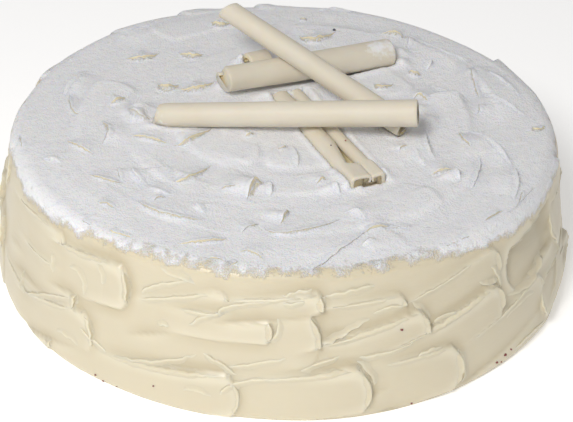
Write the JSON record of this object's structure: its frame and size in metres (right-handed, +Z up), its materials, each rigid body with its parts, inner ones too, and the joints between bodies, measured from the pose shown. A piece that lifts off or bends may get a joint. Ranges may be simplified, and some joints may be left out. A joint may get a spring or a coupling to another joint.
{
  "type": "red velvet cake",
  "caption": "Round frosted layer cake, uncut, with palette-knife swirls, an icing-sugar top and white chocolate rolls laid across it.",
  "frame": {"origin": "middle of the cake's flat base, on the surface it stands on", "axes": "+Z up; -Y towards the side that the picture shows"},
  "size_m": [0.2474, 0.2369, 0.0936],
  "materials": {
    "frosting": "satin",
    "white_chocolate": "satin"
  },
  "bodies": {
    "root": {"frosted_cake": "frosting", "front_roll": "white_chocolate", "long_roll": "white_chocolate", "broad_roll": "white_chocolate", "double_scroll": "white_chocolate", "small_curl": "white_chocolate"}
  },
  "joints": []
}
